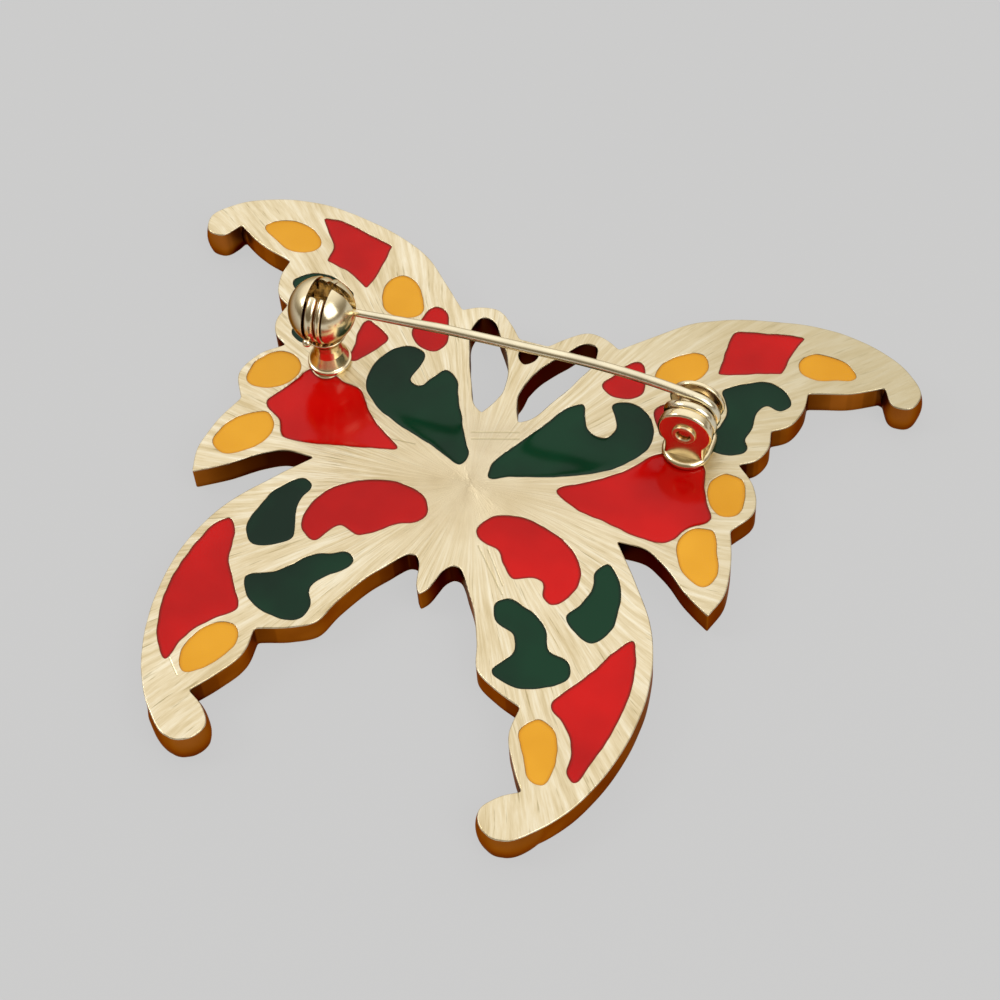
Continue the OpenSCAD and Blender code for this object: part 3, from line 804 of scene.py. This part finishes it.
def slab(outline, low, high, edge, lip=0.0):
    """A flat piece with rounded edges between two heights. lip raises a rounded rim on its top."""
    outline = np.array(outline, float)
    edges = Edges([outline])
    rows = (edge * 0.1, edge * 0.3, edge * 0.55, edge * 0.8, edge * 1.1)
    filled = fill([outline], edges, rows, hex_grid(outline.min(0), outline.max(0), 0.2))
    distance = edges.distance(filled[0])
    distance[:len(outline)] = 0
    fall = rounding(distance, edge)
    rise = lip * np.exp(-((distance - 1.1 * edge) / (0.6 * edge)) ** 2)
    mids = (0.25, 0.5, 0.75)
    vertices, faces, _ = closed_solid([outline], filled, high - fall + rise, filled, low + fall, mids)
    return vertices, faces


def even(loop, step=0.07):
    """The loop's points again, at even steps."""
    ends = np.vstack([loop, loop[:1]])
    length = np.concatenate([[0], np.cumsum(np.linalg.norm(np.diff(ends, axis=0), axis=1))])
    at = np.linspace(0, length[-1], max(12, int(length[-1] / step)), endpoint=False)
    return np.column_stack([np.interp(at, length, ends[:, 0]), np.interp(at, length, ends[:, 1])])


def joined(*parts):
    """Several solids as one list of vertices and faces."""
    vertices, faces, offset = [], [], 0
    for part_vertices, part_faces in parts:
        vertices.append(part_vertices)
        faces += [tuple(i + offset for i in face) for face in part_faces]
        offset += len(part_vertices)
    return np.concatenate(vertices), faces


# The height of the hinge's axis above the back of the plate
AXIS_H = HINGE[2] - BACK_Z
# The way that the lit sides of the fittings look. Sides that look away from it get warm brown painted shade
# and reflection
LIT_WAY = Vector((0.75, 0.0, 0.6))


def fitting(name, solid, place, body, node, material):
    """Adds a fitting's mesh, moved to its place, for a CAD node."""
    vertices, faces = solid
    piece = make_mesh(name, vertices + np.array(place), faces, [material])
    paint_shaded_side(piece)
    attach(piece, body)
    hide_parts(node)
    return piece


def paint_shaded_side(piece, bore=None):
    """Stores how much warm brown painted shade and reflection each point of a fitting gets: by the way
    that it looks, or, for a piece with a bore along Y, painted shade only inside the bore. bore is its
    X, its Z and its radius."""
    mesh = piece.data
    if "painted_side_shade" in mesh.attributes:
        mesh.attributes.remove(mesh.attributes["painted_side_shade"])
    facing = np.array([v.normal.dot(LIT_WAY) for v in mesh.vertices])
    share = np.clip((0.05 - facing) / 0.42, 0, 1)
    if bore:
        x, z, radius = bore
        off = np.array([math.hypot(v.co.x / MM - x, v.co.z / MM - z) for v in mesh.vertices])
        # Over 1, so that the painted shade reaches right to the edge of the bore
        share = np.where(off < radius, 1.3, 0)
    mesh.attributes.new("painted_side_shade", "FLOAT", "POINT").data.foreach_set("value", share.astype(np.float32))


def cut(piece, low, high):
    """Takes a box between two corners out of a piece."""
    corners = [(x, y, z) for x in (low[0], high[0]) for y in (low[1], high[1]) for z in (low[2], high[2])]
    quads = [(0, 1, 3, 2), (4, 6, 7, 5), (0, 4, 5, 1), (2, 3, 7, 6), (0, 2, 6, 4), (1, 5, 7, 3)]
    tool = make_mesh("cutter", np.array(corners), quads, [piece.data.materials[0]])
    modifier = piece.modifiers.new("cut", "BOOLEAN")
    modifier.object, modifier.operation, modifier.solver = tool, "DIFFERENCE", "EXACT"
    bevel = piece.modifiers.new("edge", "BEVEL")
    bevel.width, bevel.segments = 0.05 * MM, 2
    bevel.limit_method, bevel.angle_limit = "ANGLE", math.radians(50)
    result = bpy.data.meshes.new_from_object(piece.evaluated_get(bpy.context.evaluated_depsgraph_get()))
    piece.modifiers.clear()
    piece.data = result
    bpy.data.objects.remove(tool)
    paint_shaded_side(piece)


def hinge():
    """The bracket with its two ears, and the hollow rivet through them. Heights are from the back of
    the plate, and Y is from the wing root."""
    foot = (HINGE[0], ROOT[1], BACK_Z)
    axis = (HINGE[0], ROOT[1], BACK_Z + AXIS_H)
    ear_r, pad_r, strap_half = 2.1, 1.92, 1.42
    turns = np.radians(np.linspace(-44, 224, 80))
    disc = [(ear_r * math.cos(t), AXIS_H + ear_r * math.sin(t)) for t in turns]
    legs = [(-1.5, 1.2), (-1.55, 0.3), (1.55, 0.3), (1.5, 1.2)]
    ear = even(soften(disc + legs, 0.2, True))
    parts = []
    # The near ear and the far ear: where each begins and ends along Y, and how round its edges are
    for low, high, edge in ((2.0, 2.82, 0.22), (5.08, 5.45, 0.12)):
        flat, faces = slab(ear, -high, -low, edge)
        parts.append((np.column_stack([flat[:, 0], -flat[:, 2], flat[:, 1]]), faces))
    strap = even(np.array([(-strap_half, 2.3), (strap_half, 2.3), (strap_half, 5.3), (-strap_half, 5.3)]))
    parts.append(slab(strap, 0.1, 0.8, 0.12))
    pad = []
    for middle, first in ((3.02, 180), (4.1, 0)):
        turns = np.radians(np.linspace(first, first + 180, 40))
        pad += [(pad_r * math.cos(t), middle + pad_r * math.sin(t)) for t in turns]
    parts.append(slab(even(np.array(pad)), -0.12, 0.5, 0.28, 0.06))
    fitting("bracket", joined(*parts), foot, "brooch", "hinge_bracket", FITTING_GOLD)

    lip = [(0, 2.42), (0.36, 2.42), (0.44, 1.95), (0.6, 1.74), (0.88, 1.78), (0.95, 2.01)]
    barrel = [(0.6, 2.03), (0.6, 2.84), (1.3, 2.84), (1.3, 5.06), (0.6, 5.06), (0.6, 5.43)]
    far_head = [(0.9, 5.45), (0.84, 5.6), (0.45, 5.66), (0, 5.67)]
    bore_r = 0.56
    rivet = along("y", revolve(soften(lip + barrel + far_head, 0.08)))
    rivet = fitting("rivet", rivet, axis, "brooch", "hinge_rivet", RIVET_GOLD)
    # Painted shade inside the rivet's bore
    paint_shaded_side(rivet, (axis[0], axis[2], bore_r))


def pin():
    """The pin: a bowed shaft that tapers to a point, and a turn and a half of wire wound round the
    rivet. It is drawn from the hidden end of the winding."""
    wire_r, turn_r, wire_y, crossing = 0.38, 1.76, 4.2, 0.98
    skew, dip = math.tan(math.radians(2.04)), math.tan(math.radians(3.56))
    # How far round the bow starts in degrees, and its radius
    bow, bow_r = 14.43, 41.7
    # How many degrees the winding goes round, and where and for how long it crosses to the near ear
    winding, cross_from, cross_over = 530, 180, 170
    path, radii = [], []
    for back in np.arange(winding, -0.1, -6.0):
        t = math.radians(90 - bow - back)
        across = np.clip((back - cross_from) / cross_over, 0, 1)
        y = wire_y - crossing * across * across * (3 - 2 * across)
        path.append((turn_r * math.cos(t), y, AXIS_H + turn_r * math.sin(t)))
        radii.append(wire_r)
    for angle in np.linspace(bow, 0, 16)[1:]:
        a, b = math.radians(bow), math.radians(angle)
        x = turn_r * math.sin(a) - bow_r * (math.sin(a) - math.sin(b))
        z = AXIS_H + turn_r * math.cos(a) + bow_r * (math.cos(b) - math.cos(a))
        path.append((x, wire_y + x * skew, z))
        radii.append(wire_r)
    # The straight run, which dips from its bend on and tapers
    run, bend, ease, ease_dip, taper, taper_run, thin_r = 18.95, 9.0, 0.5, 0.03, 9.9, 8.4, 0.26
    x, _, z = path[-1]
    for step in np.linspace(0, run, 60)[1:]:
        bent = max(0.0, step - bend)
        fall = dip * max(0.0, bent - ease) + ease_dip * min(bent, ease)
        path.append((x - step, wire_y + (x - step) * skew, z - fall))
        radii.append(wire_r - (wire_r - thin_r) * min(1.0, max(0.0, step - taper) / taper_run))
    x, y, z = path[-1]
    for step, r in ((0.15, 0.235), (0.35, 0.19), (0.55, 0.14), (0.75, 0.09), (0.87, 0.055), (0.92, 0.02)):
        path.append((x - step, y - step * skew, z - dip * step))
        radii.append(r)
    fitting("pin", sweep(path, radii), (HINGE[0], ROOT[1], BACK_Z), "pin", "pin_stem", PIN_GOLD)


def ball_arc(radius, low, high, steps=26):
    """Points of a ball's outline from low to high along its axis."""
    return [(math.sqrt(max(0.0, radius ** 2 - h ** 2)), h)
            for h in radius * np.sin(np.linspace(math.asin(low / radius), math.asin(high / radius), steps))]


def catch():
    """The ball-shaped catch on its waisted neck, and the rotor with its two beads and its knob. The
    cap, the dome and the rotor are turned about the catch's axis, and the neck about Z."""
    middle = (CATCH[0], CATCH[1], CATCH[2])
    ball_r, bore, corner = 2.6, 1.57, 0.07
    pole = ball_r - 0.01
    # Where along the axis the cap and the dome face the rotor, and the floors of their bores
    cap_face, cap_floor, dome_face, dome_floor = -0.64, -1.17, 0.94, 1.47

    cap = along("x", revolve(soften([(0, -ball_r)] + ball_arc(ball_r, -pole, cap_face)[1:]
                                    + [(bore, cap_face), (bore, cap_floor), (0, cap_floor)], corner)))
    top = 3.5
    side = soften([(0, -0.1), (1.62, -0.1), (1.72, 0.12), (1.7, 0.34), (1.52, 0.42), (1.4, 0.7), (1.16, 1.3),
                   (1.08, 1.97), (1.16, 2.6), (1.38, 3.1), (1.6, 3.3), (1.62, top), (1.4, top)], 0.3)
    neck, neck_faces = revolve(np.vstack([side, [(r, top) for r in np.linspace(1.3, 0, 14)]]))
    neck = neck + (0, 0, BACK_Z - CATCH[2])
    # A groove across the neck's top, in which the rotor's beads turn
    groove = -np.sqrt((ball_r - 0.03) ** 2 - neck[:, 1] ** 2)
    under_rotor = (neck[:, 0] > cap_face + 0.02) & (neck[:, 0] < dome_face - 0.02)
    neck[:, 2] = np.where(under_rotor, np.minimum(neck[:, 2], groove), neck[:, 2])
    fitting("catch_cap", joined(cap, (neck, neck_faces)), middle, "brooch", "catch_housing",
            FITTING_GOLD)

    dome = along("x", revolve(soften([(0, dome_floor), (bore, dome_floor), (bore, dome_face)]
                                     + ball_arc(ball_r, dome_face, pole)[:-1] + [(0, ball_r)], corner)))
    dome = fitting("catch_dome", dome, middle, "brooch", "catch_housing", FITTING_GOLD)
    # The slot that the pin lies in, open upwards
    cut(dome, CATCH + (0.2, 0.31, -0.6), CATCH + (4, 1.03, 4))

    # The rotor's sleeve, with its two beads on it
    hollow_r, sleeve_r, land_r, bead_at, bead_h = 1.05, 1.5, 2.0, 2.12, 0.41
    section = soften([(hollow_r, -1.1), (sleeve_r, -1.1), (sleeve_r, -0.56), (land_r, -0.56)], 0.03).tolist()
    for low, high in ((-0.55, 0.25), (0.35, 0.85)):
        half, mid = (high - low) / 2, (high + low) / 2
        section += [(bead_at + bead_h * math.sin(t) ** 0.75, mid - half * math.cos(t))
                    for t in np.linspace(0.02, math.pi - 0.02, 15)]
    section += soften([(land_r, 0.86), (sleeve_r, 0.86), (sleeve_r, 1.4), (hollow_r, 1.4)], 0.03).tolist()
    rotor = along("x", revolve(section, closed=True))
    rotor = fitting("rotor_beads", rotor, middle, "rotor", "catch_rotor", FITTING_GOLD)
    # The opening that the pin drops in by, which faces up at rest
    cut(rotor, CATCH + (-4, -0.85, 0.0), CATCH + (4, 1.08, 4))

    # The lever and the knob on its end, made upright and then turned down to the front
    knob_r, knob_at = 0.36, 2.75
    knob = [(knob_r * math.cos(t), knob_at + knob_r * math.sin(t)) for t in np.linspace(-0.9, 1.5, 12)]
    lever = [(0, 1.9), (0.24, 1.9), (0.2, 2.3), (0.24, 2.45)]
    lever, lever_faces = revolve(lever + knob + [(0, knob_at + knob_r)], steps=32)
    turn = np.array(Matrix.Rotation(math.radians(111), 3, "X"))
    lever = lever @ turn.T + (-0.25, 0, 0)
    fitting("rotor_knob", (lever, lever_faces), middle, "rotor", "catch_rotor",
            FITTING_GOLD)


hinge()
pin()
catch()
